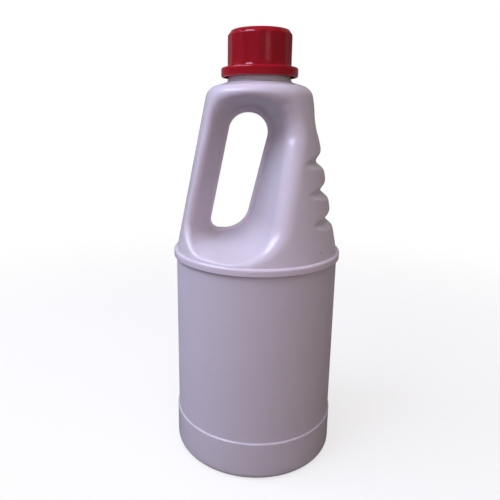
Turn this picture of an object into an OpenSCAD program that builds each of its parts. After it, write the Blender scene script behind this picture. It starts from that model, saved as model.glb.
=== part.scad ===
// Handled plastic bottle of about one litre with a screw cap.
// The bottle is one blow-moulded shell. Its origin is the centre of its base, +Z is up,
// the handle is on the -X side and the finger grooves are on the +X side.

/* [Body] */
// Diameter of the straight label panel
panel_d = 93; // [84:1:104]
// How far the base band stands out from the panel
band_proud = 0.7; // [0.4:0.1:2]
// How far the shoulder bead stands out from the panel
bead_proud = 1.5; // [0.6:0.1:2.4]
// Height of the base band above the floor
base_band_h = 23; // [14:1:36]
// Height of the label panel between the base band and the shoulder bead
panel_h = 94.3; // [70:1:130]
// Height of the shoulder bead
bead_h = 4.7; // [3.5:0.1:7]
// Radius of the rounded edge round the base
base_edge_r = 3.5; // [2.5:0.5:7]
// Width of the flat ring that the bottle stands on
stand_w = 5.5; // [3:0.5:9]
// How far the middle of the base is pushed up
push_up = 3; // [1.5:0.5:6]
// Wall thickness of the blown shell
wall = 1.2; // [0.9:0.1:1.6]

/* [Cone and shoulder] */
// Height of the cone from the bead to the corner of the shoulder
cone_h = 88.6; // [84:0.5:100]
// How far the foot of the cone lies inside the panel's side
cone_step = 0.3; // [0:0.1:1]
// Diameter of the cone at the corner of the shoulder
shoulder_d = 57; // [54:0.5:64]
// Radius of the rounded corner of the shoulder
shoulder_r = 8; // [5:0.5:9]
// Rise of the shoulder from its corner to the neck
shoulder_rise = 3.6; // [2:0.2:6]

/* [Handle] */
// Width of the handle between its outer side and the hole
handle_w = 16; // [13:0.5:18]
// Height of the hole's lowest point above the bead
hole_lift = 10.6; // [9:0.2:14]
// Height of the handle hole
hole_h = 65.8; // [56:0.5:68]
// Width of the hole between its sides, at its top
hole_top_w = 23.2; // [22:0.2:26]
// Width of the hole between its sides, at its bottom
hole_foot_w = 20.8; // [20:0.2:24]
// Corner radius at the top of the hole
hole_top_r = 10.8; // [6:0.2:10.8]
// Corner radius at the foot of the hole, on the handle side
hole_heel_r = 5; // [3:0.5:6]
// Corner radius at the foot of the hole, on the body side
hole_toe_r = 15; // [8:0.5:15]
// Thickness of the plastic pinched together round the hole
web_t = 3.2; // [2.4:0.2:5]
// Width of the pinched rim round the hole
rim_w = 2.6; // [1.5:0.1:3.5]
// Width of that rim on the handle, where it is narrower
rim_handle_w = 1; // [0.6:0.1:2]
// Spread of the scoop for each millimetre of depth, on the handle side
spread_handle = 0.5; // [0.35:0.05:0.6]
// Spread of the scoop for each millimetre of depth, on the body side
spread_body = 0.34; // [0.25:0.01:0.45]
// Spread of the scoop for each millimetre of depth, at its roof and floor
spread_end = 0.17; // [0.12:0.01:0.2]
// Edge radius of the scoop on the handle
edge_handle_r = 2.8; // [2:0.2:4]
// Edge radius of the scoop on the body side
edge_body_r = 10; // [4:0.5:11]
// Edge radius of the scoop at its roof
edge_roof_r = 7; // [3:0.5:9]
// Edge radius of the scoop at its floor
edge_floor_r = 2; // [1.6:0.2:3]

/* [Finger grooves] */
// Number of finger grooves opposite the handle
groove_n = 3; // [1:1:3]
// Depth of each finger groove
groove_depth = 4.1; // [2:0.1:5]
// Distance from groove to groove
groove_pitch = 15.9; // [14:0.1:17]
// Height of the lowest groove above the bead
groove_lift = 18.2; // [14:0.1:24]
// Half-width of a groove above its deepest line
groove_up_w = 4; // [2.5:0.1:4.5]
// Half-width of a groove below its deepest line
groove_down_w = 3.1; // [2:0.1:4]
// Angle on either side over which a groove runs out
groove_spread = 40; // [30:1:50]
// Depth of the long hollow for the forefinger above the grooves
hollow_depth = 1.2; // [0.6:0.1:2]
// Half-height of that hollow
hollow_w = 9; // [6:0.5:11]
// Distance from the highest groove to the middle of the hollow
hollow_lift = 20; // [18:0.5:24]

/* [Neck] */
// Height of the neck from the shoulder to the mouth
neck_h = 23; // [20:0.5:28]
// Outer diameter of the neck under its thread
neck_d = 29.2; // [27:0.2:30]
// Diameter of the bore of the mouth
mouth_d = 25.2; // [22:0.2:26]
// Diameter of the collar at the foot of the neck, at its top
collar_d = 33.2; // [31:0.2:35]
// Diameter of that collar where it rises from the shoulder
collar_foot_d = 35.4; // [35.2:0.2:38]
// Height of that collar
collar_h = 3; // [2:0.1:4]
// Radius of the collar's upper edge
collar_edge_r = 1; // [0.4:0.1:1.2]
// Thread pitch of neck and cap
thread_pitch = 4.2; // [3.6:0.1:5]
// Turns of thread on the neck
thread_turns = 1.5; // [1:0.25:2]
// Height of the thread above the wall of the neck
thread_h = 1; // [0.6:0.05:1.2]
// Half-width of the thread at its root
thread_root_w = 1.1; // [0.8:0.05:1.3]
// Half-width of the thread at its crest
thread_crest_w = 0.45; // [0.3:0.05:0.6]
// Distance from the mouth to the upper end of the thread
thread_drop = 2.6; // [2:0.1:4]

/* [Cap] */
// Outer diameter of the cap's body
cap_d = 34.9; // [34.8:0.1:38]
// Radial gap between the crest of the neck's thread and the cap's inside
cap_gap = 0.4; // [0.25:0.05:0.5]
// Thickness of the cap's top
cap_top_t = 1.8; // [1.2:0.1:3]
// Height of the bevel round the cap's top
cap_bevel_h = 2.6; // [1:0.1:4]
// Width of the bevel round the cap's top
cap_bevel_w = 1.9; // [1:0.1:3]
// Number of flutes round the cap
flute_n = 14; // [10:1:20]
// Depth of a flute
flute_depth = 0.4; // [0.2:0.05:0.6]
// Width of the plain strip between two flutes
flute_land = 1.2; // [0.6:0.1:2]
// Turn of the flutes from the front, in degrees
flute_phase = -4.9; // [-12:0.1:12]
// Outer diameter of the skirt round the cap's foot
skirt_d = 41.8; // [40:0.2:46]
// Height of the skirt
skirt_h = 5; // [3.5:0.1:6]
// Height of the skirt's foot above the shoulder
skirt_lift = 2.2; // [1.6:0.1:3]
// Wall thickness of the skirt and of its upper web
skirt_t = 1.3; // [1:0.1:1.5]
// Gap between the neck's collar and the cap's inner wall above it
foot_gap = 0.4; // [0.3:0.1:1]
// Thickness of the sealing wad
liner_t = 1.2; // [0.8:0.1:2]
// Radial gap round the sealing wad
liner_gap = 0.3; // [0.2:0.05:0.5]

/* [Hidden] */
$fn = 96;

// Depth that joined or cut solids run past each other
lap = 0.3;
// Half-depth to which the scoop cutters reach, clear of the body
reach = panel_d/2 + 14;
// Number of halvings that find where the scoop comes out through the cone
halvings = 24;

// Radii and heights of the body
panel_r = panel_d/2;
band_r = panel_r + band_proud;
bead_r = panel_r + bead_proud;
cone_foot_r = panel_r - cone_step;
stand_out = band_r - base_edge_r;
stand_in = stand_out - stand_w;
bead_z = base_band_h + panel_h;
cone_z = bead_z + bead_h;
shoulder_z = cone_z + cone_h;
neck_z = shoulder_z + shoulder_rise;
mouth_z = neck_z + neck_h;
bead_edge_r = min(1.3, bead_h/3);
// The bead's rounded top edge stops just short of level
bead_turn = 80;
lip_edge = 0.4;

// The cone narrows by this much for each millimetre of height
cone_fall = (cone_foot_r - shoulder_d/2)/cone_h;
cone_lean = atan(cone_fall);
shoulder_fall = shoulder_rise/((shoulder_d - collar_d)/2);
shoulder_lean = atan(shoulder_fall);

// Sizes of the neck and the cap that follow from the thread
neck_r = neck_d/2;
mouth_r = mouth_d/2;
collar_r = collar_d/2;
collar_foot_r = collar_foot_d/2;
thread_r = neck_r + thread_h;
cap_r = cap_d/2;
cap_in_r = thread_r + cap_gap;
cap_thread_r = neck_r + cap_gap;
liner_r = cap_in_r - liner_gap;
thread_top_z = mouth_z - thread_drop;
cap_in_z = mouth_z + liner_t;
cap_top_z = cap_in_z + cap_top_t;
collar_z = neck_z + collar_h;
cap_foot_z = collar_z + foot_gap;
skirt_z = neck_z + skirt_lift;
skirt_top_z = skirt_z + skirt_h;
skirt_r = skirt_d/2;
flank_gap = 0.3;

// The sides of the hole, and its four corners as [x, z]
hole_z = cone_z + hole_lift;
hole_top_z = hole_z + hole_h;
hole_foot_x = handle_w - cone_r(hole_z);
hole_head_x = handle_w - cone_r(hole_top_z);
heel = [hole_foot_x, hole_z];
toe = [hole_foot_x + hole_foot_w, hole_z];
brow = [hole_head_x + hole_top_w, hole_top_z];
crown = [hole_head_x, hole_top_z];

// The grooves are turned about an axis behind the bottle's own, so that they run out
groove_shift = groove_depth/(1 - cos(groove_spread));
groove_z = cone_z + groove_lift;
hollow_z = groove_z + (groove_n - 1)*groove_pitch + hollow_lift;
groove_margin = 0.15;

// Radius of the cone at a height, or of its inside where inset is the wall
function cone_r(z, inset = 0) =
    cone_foot_r - (z - cone_z)*cone_fall - inset/cos(cone_lean);

function unit(v) = v/norm(v);
function blend(a, b, t) = a + (b - a)*t;
// Turn from one unit vector to another
function swing(a, b, t) =
    let (whole = acos(max(-1, min(1, a*b))))
    (a*sin((1 - t)*whole) + b*sin(t*whole))/sin(whole);
function arc(centre, r, from, to, steps) =
    [for (i = [0:steps]) let (a = blend(from, to, i/steps)) centre + r*[cos(a), sin(a)]];
// Rounded corner between two straight lines
function rounded(before, corner, after, r, steps) =
    let (u = unit(before - corner), v = unit(after - corner),
         half = acos(u*v)/2,
         centre = corner + unit(u + v)*r/sin(half),
         first = unit(corner + u*r/tan(half) - centre),
         last = unit(corner + v*r/tan(half) - centre))
    [for (i = [0:steps]) centre + r*swing(first, last, i/steps)];

// Point where the cone and the slope of the shoulder would meet
function shoulder_corner(inset) =
    let (r0 = cone_r(shoulder_z, inset), z0 = shoulder_z - inset/cos(shoulder_lean),
         r = (r0 + cone_fall*(shoulder_z - z0 - shoulder_fall*shoulder_d/2))
             /(1 - cone_fall*shoulder_fall))
    [r, z0 + (shoulder_d/2 - r)*shoulder_fall];
function shoulder_arc(inset, end_r) =
    let (corner = shoulder_corner(inset))
    rounded([cone_r(cone_z, inset), cone_z], corner,
            [end_r, corner[1] + (corner[0] - end_r)*shoulder_fall], shoulder_r - inset, 6);
function shoulder_height(r, inset) =
    shoulder_z - inset/cos(shoulder_lean) + (shoulder_d/2 - r)*shoulder_fall;

// Curved underside of the base, from the axis to the standing ring
function dome(inset) =
    let (big = (stand_in*stand_in + push_up*push_up)/(2*push_up) + inset,
         low = push_up + inset - big)
    [for (i = [0:8]) let (r = stand_in*i/8) [r, max(inset, low + sqrt(big*big - r*r))]];

// Half-section of the solid body, up to and with the neck
function outer_section() = concat(
    dome(0),
    arc([stand_out, base_edge_r], base_edge_r, -90, 0, 8),
    [[band_r, base_band_h - band_proud], [panel_r, base_band_h],
     [panel_r, bead_z], [bead_r, bead_z + bead_proud/2]],
    arc([bead_r - bead_edge_r, cone_z - bead_edge_r], bead_edge_r, 0, bead_turn, 5),
    [[cone_r(cone_z), cone_z]],
    shoulder_arc(0, collar_foot_r),
    [[collar_foot_r, shoulder_height(collar_foot_r, 0)]],
    rounded([collar_foot_r, neck_z], [collar_r, collar_z], [neck_r, collar_z], collar_edge_r, 4),
    [[neck_r, collar_z], [neck_r, mouth_z - lip_edge], [neck_r - lip_edge, mouth_z],
     [0, mouth_z]]);

// Half-section of the space inside, up to and through the mouth
function inner_section() = concat(
    dome(wall),
    arc([stand_out, base_edge_r], base_edge_r - wall, -90, 0, 6),
    [[band_r - wall, base_band_h - band_proud], [panel_r - wall, base_band_h],
     [panel_r - wall, bead_z], [cone_r(cone_z, wall), cone_z]],
    shoulder_arc(wall, mouth_r),
    [[mouth_r, shoulder_height(mouth_r, wall)], [mouth_r, mouth_z + 1], [0, mouth_z + 1]]);

// One rounded corner of the hole: each item is a point and its outward direction
function hole_corner(before, corner, after, r, steps) =
    let (u = unit(before - corner), v = unit(after - corner),
         half = acos(u*v)/2,
         centre = corner + unit(u + v)*r/sin(half),
         first = unit(corner + u*r/tan(half) - centre),
         last = unit(corner + v*r/tan(half) - centre))
    [for (i = [0:steps]) let (d = swing(first, last, i/steps)) [centre + r*d, d]];
// Points along a straight side between two corners
function hole_side(a, b, steps) =
    [for (i = [1:steps - 1]) [blend(a[0], b[0], i/steps), a[1]]];
function last_of(list) = list[len(list) - 1];
function hole_outline() =
    let (heel_arc = hole_corner(crown, heel, toe, hole_heel_r, 5),
         toe_arc = hole_corner(heel, toe, brow, hole_toe_r, 8),
         brow_arc = hole_corner(toe, brow, crown, hole_top_r, 8),
         crown_arc = hole_corner(brow, crown, heel, hole_top_r, 7))
    concat(heel_arc, toe_arc,
           hole_side(last_of(toe_arc), brow_arc[0], 5), brow_arc, crown_arc,
           hole_side(last_of(crown_arc), heel_arc[0], 6));

// Share of each side of the scoop in a direction [x, z] away from the hole
function mix_by(d, handle, body, roof, floor) =
    (d[0] < 0 ? handle : body)*d[0]*d[0] + (d[1] > 0 ? roof : floor)*d[1]*d[1];
function spread_of(d) = mix_by(d, spread_handle, spread_body, spread_end, spread_end);
function rim_of(d) = mix_by(d, rim_handle_w, rim_w, rim_w, rim_w);
function edge_of(d) = mix_by(d, edge_handle_r, edge_body_r, edge_roof_r, edge_floor_r);

// Distance of the scoop's wall from the hole's edge, at a depth from the middle plane
function wall_out(d, depth, inset) =
    let (s = spread_of(d)) rim_of(d) + inset*sqrt(1 + s*s) + s*(depth - web_t/2);
// Depth at which the scoop's wall comes out through the cone, found by halving
function edge_depth(p, d, inset, low, high, tries) =
    let (mid = (low + high)/2, q = p + d*wall_out(d, mid, inset),
         outside = norm([q[0], mid]) > cone_r(q[1], inset))
    tries == 0 ? mid
    : outside ? edge_depth(p, d, inset, low, mid, tries - 1)
    : edge_depth(p, d, inset, mid, high, tries - 1);

// Section of the scoop as [distance from the hole, depth], from its wall to past the cone
function scoop_edge(p, d, inset, steps) =
    let (depth = edge_depth(p, d, inset, web_t/2, reach, halvings),
         out = wall_out(d, depth, inset),
         q = p + d*out,
         r = edge_of(d) - inset,
         down_wall = unit([-spread_of(d), -1]),
         slope = (-cone_fall*cone_r(q[1], inset)*d[1] - q[0]*d[0])/depth,
         along_cone = unit([1, slope]),
         half = acos(down_wall*along_cone)/2,
         corner = [out, depth],
         centre = corner + unit(down_wall + along_cone)*r/sin(half),
         first = unit(corner + down_wall*r/tan(half) - centre),
         last = unit(corner + along_cone*r/tan(half) - centre),
         bend = [for (i = [0:steps]) centre + r*swing(first, last, i/steps)],
         leave = unit(bend[steps] - bend[steps - 1]),
         past = bend[steps] + 2.5*leave)
    concat(bend, [past, [past[0], reach]]);
function outer_scoop(p, d) =
    concat([[0, web_t/2], [rim_of(d), web_t/2]], scoop_edge(p, d, 0, 3));
function inner_scoop(p, d) =
    concat([[wall_out(d, 0, wall), 0]], scoop_edge(p, d, wall, 2));

// Closed solid swept round the hole: sections[i] is the section at outline point i.
// Rings run from the far front, through the hole, to the far back.
module round_hole(outline, sections, shared_middle) {
    n = len(outline);
    depth_n = len(sections[0]);
    front = [for (k = [depth_n - 1:-1:0]) [k, -1]];
    back = [for (k = [(shared_middle ? 1 : 0):depth_n - 1]) [k, 1]];
    rings = concat(front, back);
    last_ring = len(rings) - 1;
    points = [for (ring = rings) for (i = [0:n - 1])
        let (s = sections[i][ring[0]], q = outline[i][0] + outline[i][1]*s[0])
        [q[0], ring[1]*s[1], q[1]]];
    sides = [for (k = [0:last_ring - 1]) for (i = [0:n - 1])
        let (a = k*n + i, b = k*n + (i + 1)%n) each [[a, b, a + n], [b, b + n, a + n]]];
    front_cap = [for (i = [n - 1:-1:0]) i];
    back_cap = [for (i = [0:n - 1]) last_ring*n + i];
    polyhedron(points, concat([front_cap, back_cap], sides), convexity = 10);
}

// Fall of the grip below the cone at a height, for the finger grooves and the hollow
function bell(rise, up, down) = exp(-pow(rise/(rise > 0 ? up : down), 2));
function grip_fall(z, widen, deepen) =
    let (falls = [for (k = [0:groove_n - 1])
             (groove_depth + deepen)*bell(z - groove_z - k*groove_pitch,
                                          groove_up_w + widen, groove_down_w + widen)],
         hollow = (hollow_depth + deepen)*bell(z - hollow_z, hollow_w + widen, hollow_w + widen))
    hollow + falls*[for (f = falls) 1];
// Ring of space outside the grip, cut from the body or kept out of the space inside it
module grip(inset, widen, deepen, margin) {
    low = groove_z - 3*groove_down_w;
    high = min(hollow_z + 1.35*hollow_w, shoulder_arc(0, collar_foot_r)[0][1]);
    steps = round((high - low)/1.3);
    edge = [for (i = [0:steps]) let (z = blend(low, high, i/steps))
        [cone_r(z, inset) + groove_shift + margin - grip_fall(z, widen, deepen), z]];
    far = panel_r + groove_shift + 10;
    translate([-groove_shift, 0, 0]) rotate([0, 0, -75])
        rotate_extrude(angle = 150, $fn = 180)
            polygon(concat(edge, [[far, high], [far, low]]));
}

// Screw thread as one ridge: it runs down from top_z, and at its ends it sinks into its wall
module thread(wall_r, crest_r, top_z, root_w, crest_w, turns) {
    per_turn = 36;
    steps = round(turns*per_turn);
    into = wall_r < crest_r ? -lap : lap;
    points = [for (i = [0:steps])
        let (a = -360*i/per_turn, z = top_z - root_w - thread_pitch*i/per_turn,
             ramp = min(1, i/3, (steps - i)/3),
             r = blend(wall_r + into/2, crest_r, ramp))
        for (corner = [[wall_r + into, -root_w], [r, -crest_w], [r, crest_w],
                       [wall_r + into, root_w]])
        [corner[0]*cos(a), corner[0]*sin(a), z + corner[1]]];
    sides = [for (i = [0:steps - 1]) for (k = [0:3])
        let (a = 4*i + k, b = 4*i + (k + 1)%4) each [[a, b, a + 4], [b, b + 4, a + 4]]];
    // The order of the corners turns round with the side that the ridge stands on
    faces = concat([[3, 2, 1, 0], [for (k = [0:3]) 4*steps + k]], sides);
    turned = wall_r < crest_r ? [for (f = faces) [for (k = [len(f) - 1:-1:0]) f[k]]] : faces;
    polyhedron(points, turned, convexity = 10);
}

module bottle() {
    outline = hole_outline();
    color("#c9c1d6") difference() {
        union() {
            rotate_extrude() polygon(outer_section());
            thread(neck_r, thread_r, thread_top_z, thread_root_w, thread_crest_w, thread_turns);
        }
        round_hole(outline, [for (h = outline) outer_scoop(h[0], h[1])], false);
        grip(0, 0, 0, groove_margin);
        difference() {
            rotate_extrude() polygon(inner_section());
            round_hole(outline, [for (h = outline) inner_scoop(h[0], h[1])], true);
            grip(wall, 0.9, 0.3, 0.4);
        }
    }
}

// Half-section of the cap without its flutes
function cap_section() = [
    [cap_in_r, cap_foot_z], [cap_in_r, cap_in_z], [0, cap_in_z], [0, cap_top_z],
    [cap_r - cap_bevel_w, cap_top_z], [cap_r, cap_top_z - cap_bevel_h],
    [cap_r, skirt_top_z],
    [skirt_r - 1, skirt_top_z], [skirt_r - 0.3, skirt_top_z - 0.3], [skirt_r, skirt_top_z - 1],
    [skirt_r, skirt_z + 1], [skirt_r - 0.3, skirt_z + 0.3], [skirt_r - 0.9, skirt_z],
    [skirt_r - skirt_t, skirt_z], [skirt_r - skirt_t, skirt_top_z - skirt_t],
    [cap_r, skirt_top_z - skirt_t], [cap_r, cap_foot_z]];

// Section of one flute, a shallow part of a wide circle
module flute() {
    half_chord = PI*cap_r/flute_n - flute_land/2;
    flute_r = (half_chord*half_chord + flute_depth*flute_depth)/(2*flute_depth);
    half = asin(half_chord/flute_r);
    translate([0, 0, skirt_top_z]) linear_extrude(cap_top_z - skirt_top_z + 1)
        polygon(concat(
            arc([cap_r - flute_depth + flute_r, 0], flute_r, 180 + half, 180 - half, 6),
            [[cap_r + 2, half_chord + 0.3], [cap_r + 2, -half_chord - 0.3]]));
}

module cap() {
    color("#a5141e") {
        difference() {
            rotate_extrude() polygon(cap_section());
            for (i = [0:flute_n - 1])
                rotate([0, 0, flute_phase - 90 + (i + 0.5)*360/flute_n]) flute();
        }
        // The cap's thread lies just under the neck's thread and pulls against it
        thread(cap_in_r, cap_thread_r,
               thread_top_z - (thread_root_w + thread_crest_w) - flank_gap,
               thread_root_w*0.9, thread_crest_w*0.9, thread_turns);
    }
}

module cap_liner() {
    color("#e8e6e0") translate([0, 0, mouth_z]) cylinder(r = liner_r, h = liner_t);
}

bottle();
cap();
cap_liner();
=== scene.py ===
import math

import bmesh
import bpy
import numpy as np
from mathutils import Matrix, Vector


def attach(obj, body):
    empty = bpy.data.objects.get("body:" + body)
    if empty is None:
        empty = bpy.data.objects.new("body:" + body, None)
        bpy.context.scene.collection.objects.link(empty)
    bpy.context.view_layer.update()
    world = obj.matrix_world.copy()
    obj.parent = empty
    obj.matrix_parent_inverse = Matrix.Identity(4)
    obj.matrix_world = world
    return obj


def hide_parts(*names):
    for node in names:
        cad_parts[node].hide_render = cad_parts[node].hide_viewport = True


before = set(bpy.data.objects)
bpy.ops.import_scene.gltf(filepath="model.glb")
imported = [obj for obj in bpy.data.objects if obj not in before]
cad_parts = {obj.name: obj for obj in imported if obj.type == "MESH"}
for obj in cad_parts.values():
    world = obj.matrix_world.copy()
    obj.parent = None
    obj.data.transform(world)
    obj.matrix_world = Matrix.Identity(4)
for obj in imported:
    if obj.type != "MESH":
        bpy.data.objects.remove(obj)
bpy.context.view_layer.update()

# Camera, at the photograph's viewing angle.
# It stands 274 mm in front of the bottle's axis, just under the height of the shoulder,
# and looks a little down and to the left.
CAMERA_PLACE = (0.0, -0.27398, 0.19377)
CAMERA_YAW = math.radians(3.22)
CAMERA_PITCH = math.radians(-13.18)
CAMERA_ROLL = math.radians(0.44)
FOCAL_PIXELS = 478.8
CENTRE_PIXEL = (230.1, 232.4)
FRAME_PIXELS = 500

lens = bpy.data.cameras.new("camera")
lens.sensor_width = 36.0
lens.lens = FOCAL_PIXELS / FRAME_PIXELS * lens.sensor_width
lens.shift_x = (FRAME_PIXELS / 2 - CENTRE_PIXEL[0]) / FRAME_PIXELS
lens.shift_y = (CENTRE_PIXEL[1] - FRAME_PIXELS / 2) / FRAME_PIXELS
lens.clip_start = 0.01
camera = bpy.data.objects.new("camera", lens)
camera.matrix_world = (
    Matrix.Translation(CAMERA_PLACE)
    @ Matrix.Rotation(CAMERA_YAW, 4, "Z")
    @ Matrix.Rotation(math.pi / 2 + CAMERA_PITCH, 4, "X")
    @ Matrix.Rotation(CAMERA_ROLL, 4, "Z")
)
bpy.context.scene.collection.objects.link(camera)
bpy.context.scene.camera = camera

# Bottle: one blow-moulded shell of high-density polyethylene, 1.2 mm thick.
# The mould's two halves met in the plane of the handle, where they pinched the plastic
# together round the hand hole, and left a fine seam all round. Sizes are in millimetres.
MM = 0.001
WALL = 1.2
PANEL_R = 46.5
BAND_R = 47.2
BEAD_R = 47.98
BAND_TOP = 23.0
BAND_RISE = 0.7
BEAD_FOOT = 117.3
BEAD_RISE = 0.75
BEAD_ROUND = 1.3
CONE_FOOT = 122.0
CONE_FOOT_R = 46.2
SHOULDER_Z = 210.6
SHOULDER_R = 28.5
SHOULDER_ROUND = 8.0
SHOULDER_RISE = 3.6
COLLAR_FOOT_R = 17.7
COLLAR_R = 16.6
COLLAR_TOP = 217.2
NECK_R = 14.6
MOUTH_R = 12.6
MOUTH_Z = 237.2
BASE_ROUND = 3.5
STAND_WIDTH = 5.5
STAND_EASE = 1.8
PUSH_UP = 3.0
CONE_FALL = (CONE_FOOT_R - SHOULDER_R) / (SHOULDER_Z - CONE_FOOT)
SHOULDER_FALL = SHOULDER_RISE / (SHOULDER_R - COLLAR_R)

HANDLE_WIDTH = 16.0
HOLE_FOOT = 132.6
HOLE_TOP = 198.4
HOLE_FOOT_WIDTH = 20.8
HOLE_TOP_WIDTH = 23.2
HEEL_ROUND = 5.0
TOE_ROUND = 15.0
CROWN_ROUND = 10.8
WEB = 3.2

# The scoop round the hole has four values of a kind, for its handle, body, roof and floor sides:
# how far the wall spreads for each millimetre of depth, how wide the flat rim is,
# and the radius of the edge where the wall comes out through the skin
SCOOP_SPREAD = (0.5, 0.34, 0.17, 0.17)
RIM_WIDTH = (1.0, 2.6, 2.6, 2.6)
EDGE_ROUND = (2.8, 10.0, 7.0, 2.0)
RIM_ROUND_SHARE = 0.42
FIN_REACH = 0.25
FIN_HALF = 0.22

GROOVE_HEIGHTS = (140.2, 156.1, 172.0)
GROOVE_DEPTH = 4.1
GROOVE_UP = 4.0
GROOVE_DOWN = 3.1
GROOVE_SPREAD = math.radians(40)
GROOVE_GAP = 0.15
GROOVE_SOFT = 0.5
GROOVES_END = SHOULDER_Z - 4
HOLLOW_HEIGHT = 192.0
HOLLOW_DEPTH = 1.2
HOLLOW_HALF = 9.0
FAR_OUT = 1000.0

# Columns of the mesh on each side of the hole, and steps round its corners and rim
SIDE_STEPS = 76
FOOT_STEPS = 72
GRIP_STEPS = 124
ROOF_STEPS = 72
CORNER_STEPS = 40
RIM_STEPS = 6
RIM_FOOT_STEPS = 8
HALVINGS = 40


def unit(v):
    return v / np.linalg.norm(v, axis=-1, keepdims=True)


def filleted(corners, edge=0.25):
    """Outline through corners (x, y, radius, steps), with each corner rounded and its ends held."""
    points = []
    last = len(corners) - 1
    for i, (x, y, radius, steps) in enumerate(corners):
        corner = np.array([x, y])
        if radius == 0 or i in (0, last):
            points.append(corner)
            continue
        before = unit(np.array(corners[i - 1][:2]) - corner)
        after = unit(np.array(corners[i + 1][:2]) - corner)
        half = math.acos(np.clip(before @ after, -1, 1)) / 2
        middle = corner + unit(before + after) * radius / math.sin(half)
        reach = radius / math.tan(half)
        start = unit(corner + before * reach - middle)
        end = unit(corner + after * reach - middle)
        whole = math.acos(np.clip(start @ end, -1, 1))
        points.append(corner + before * (reach + edge))
        for k in range(steps + 1):
            t = k / steps
            turn = (math.sin((1 - t) * whole) * start + math.sin(t * whole) * end) / math.sin(whole)
            points.append(middle + radius * turn)
        points.append(corner + after * (reach + edge))
    return np.array(points)


def spaced(path, longest):
    """The path with points added, so that no step is longer than that."""
    points = [path[0]]
    for a, b in zip(path[:-1], path[1:]):
        n = max(1, math.ceil(np.linalg.norm(b - a) / longest))
        points += [a + (b - a) * k / n for k in range(1, n + 1)]
    return np.array(points)


def along(path):
    """Distance along a path at each of its points."""
    return np.concatenate([[0], np.cumsum(np.linalg.norm(np.diff(path, axis=0), axis=1))])


def at(path, distance):
    """Points of a path at distances along it."""
    whole = along(path)
    return np.stack([np.interp(distance, whole, path[:, k]) for k in range(path.shape[1])], -1)


def shoulder_slope(radius, inset=0.0):
    """Height of the shoulder's slope at a radius."""
    lean = math.cos(math.atan(SHOULDER_FALL))
    return SHOULDER_Z - inset / lean + (SHOULDER_R - radius) * SHOULDER_FALL


def cone_radius(z, inset=0.0):
    """Radius of the cone's side at a height."""
    lean = math.cos(math.atan(CONE_FALL))
    return CONE_FOOT_R - (z - CONE_FOOT) * CONE_FALL - inset / lean


def upper_profile(inset, end_radius):
    """Profile (radius, height) of the cone and the shoulder, from the bead to a radius."""
    foot = np.array([cone_radius(CONE_FOOT, inset), CONE_FOOT])
    # Where the cone's side meets the slope of the shoulder
    gap = cone_radius(SHOULDER_Z, inset) - SHOULDER_R
    rise = shoulder_slope(SHOULDER_R, inset) - SHOULDER_Z
    radius = SHOULDER_R + (gap - CONE_FALL * rise) / (1 - CONE_FALL * SHOULDER_FALL)
    corner = (radius, shoulder_slope(radius, inset))
    end = (end_radius, shoulder_slope(end_radius, inset))
    bend = (*corner, SHOULDER_ROUND - inset, CORNER_STEPS)
    return spaced(filleted([(*foot, 0, 0), bend, (*end, 0, 0)]), 0.25)


def grip_radius(z, azimuth, inset, widen, deepen):
    """Radius of the space that the finger grooves leave, at an angle from the front."""
    fall = (HOLLOW_DEPTH + deepen) * np.exp(-(((z - HOLLOW_HEIGHT) / (HOLLOW_HALF + widen)) ** 2))
    for height in GROOVE_HEIGHTS:
        rise = z - height
        width = np.where(rise > 0, GROOVE_UP, GROOVE_DOWN) + widen
        fall = fall + (GROOVE_DEPTH + deepen) * np.exp(-((rise / width) ** 2))
    shift = GROOVE_DEPTH / (1 - math.cos(GROOVE_SPREAD))
    reach = cone_radius(z, inset) + shift + GROOVE_GAP - fall
    across = np.sin(azimuth)
    side = np.maximum(reach**2 - (shift * np.cos(azimuth)) ** 2, 1.0)
    radius = -shift * across + np.sqrt(side)
    return np.where(across > 0, radius, FAR_OUT)


def soft_min(a, b, width):
    """The smaller of two values, blended where they are less than a width apart."""
    near = np.maximum(width - np.abs(a - b), 0) / width
    return np.minimum(a, b) - near**3 * width / 6


class Skin:
    """One side of the shell's upper part, from the hole's edge to the bead and the neck."""

    def __init__(self, inset, end_radius, widen, deepen):
        self.inset = inset
        self.widen = widen
        self.deepen = deepen
        self.profile = upper_profile(inset, end_radius)
        self.length = along(self.profile)[-1]

    def radius_at(self, z):
        """Radius of the skin at a height, without the grooves."""
        return np.interp(z, self.profile[:, 1], self.profile[:, 0])

    def place(self, distance, azimuth):
        """Points on the skin at a distance along its profile and an angle from the front."""
        spot = at(self.profile, distance)
        radius, z = spot[..., 0], spot[..., 1]
        grip = grip_radius(z, azimuth, self.inset, self.widen, self.deepen)
        radius = soft_min(radius, np.where(z < GROOVES_END, grip, FAR_OUT), GROOVE_SOFT)
        return np.stack([radius * np.sin(azimuth), -radius * np.cos(azimuth), z], -1)


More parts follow.
